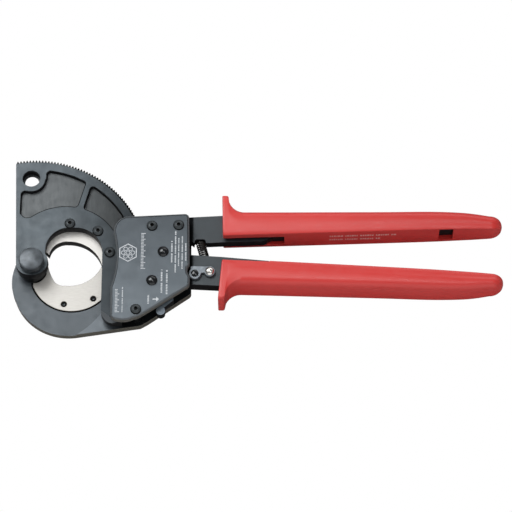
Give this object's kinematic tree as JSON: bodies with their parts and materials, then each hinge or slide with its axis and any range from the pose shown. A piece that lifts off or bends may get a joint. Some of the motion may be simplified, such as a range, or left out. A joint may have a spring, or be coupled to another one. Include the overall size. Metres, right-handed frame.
{
  "type": "ratchet cable cutter",
  "caption": "Ratchet cable cutter with a closed ring head, a toothed blade sector, a riveted housing, a release lever and two long guarded plastic grips.",
  "frame": {"origin": "bottom centre of the whole tool's box, on the plane it lies on", "axes": "+X from the cutting head towards the grip ends, +Y from the lower handle to the upper handle, +Z from the back plate up to the cover plate"},
  "size_m": [0.3824, 0.1442, 0.0303],
  "materials": {
    "blackened_steel": "satin black-oxide steel",
    "blade_steel": "ground steel",
    "black_fastener": "black oxide",
    "red_grip": "satin soft plastic",
    "bronze": "sintered bronze",
    "spring_steel": "oiled black spring wire",
    "bright_rivet": "polished"
  },
  "bodies": {
    "frame": {"rear_frame": "blackened_steel", "fixed_blade": "blade_steel", "fixed_blade_screws": "black_fastener", "cover_plate": "blackened_steel", "cover_screws": "black_fastener", "cover_spacers": "blackened_steel", "pin_sleeves": "blackened_steel", "handle_pivot_pin": "black_fastener", "holding_pawl_pin": "black_fastener", "pivot_bolt": "blackened_steel", "pivot_nut": "blackened_steel", "pivot_spacer": "blackened_steel", "upper_handle_bar": "blackened_steel", "upper_grip": "red_grip", "spring_peg": "blackened_steel", "return_spring": "spring_steel", "holding_pawl_spring": "spring_steel"},
    "blade_sector": {"toothed_sector": "blackened_steel", "moving_blade": "blade_steel", "moving_blade_screws": "black_fastener", "pivot_bush": "bronze"},
    "lower_handle": {"lower_handle_bar": "blackened_steel", "lower_grip": "red_grip", "handle_bush": "bronze", "drive_pawl_pin": "blackened_steel", "latch_rivet": "bright_rivet"},
    "drive_pawl_body": {"drive_pawl": "blackened_steel", "drive_pawl_spring": "spring_steel"},
    "release_lever": {"holding_pawl": "blackened_steel"},
    "latch": {"handle_latch": "blackened_steel", "latch_stud": "black_fastener"}
  },
  "joints": [
    {"name": "blade_swing", "type": "hinge", "parent": "frame", "child": "blade_sector", "pos_m": [-0.17474, -0.01667, 0], "axis": [0, 0, 1], "range_deg": [-66, 110]},
    {"name": "handle_swing", "type": "hinge", "parent": "frame", "child": "lower_handle", "pos_m": [-0.07264, -0.01017, 0], "axis": [0, 0, 1], "range_deg": [-28, 0], "deforming": ["return_spring"]},
    {"name": "drive_pawl_swing", "type": "hinge", "parent": "lower_handle", "child": "drive_pawl_body", "pos_m": [-0.08174, -0.00367, 0], "axis": [0, 0, 1], "range_deg": [0, 20]},
    {"name": "release_swing", "type": "hinge", "parent": "frame", "child": "release_lever", "pos_m": [-0.08104, -0.03467, 0], "axis": [0, 0, 1], "range_deg": [0, 8], "stiffness_Nm_per_rad": 0.05},
    {"name": "latch_swing", "type": "hinge", "parent": "lower_handle", "child": "latch", "pos_m": [-0.03654, -0.02367, 0], "axis": [0, 0, 1], "range_deg": [-70, 0]}
  ],
  "couplings": [
    {"joint": "drive_pawl_swing", "follows": "handle_swing", "ratio": -0.7}
  ]
}
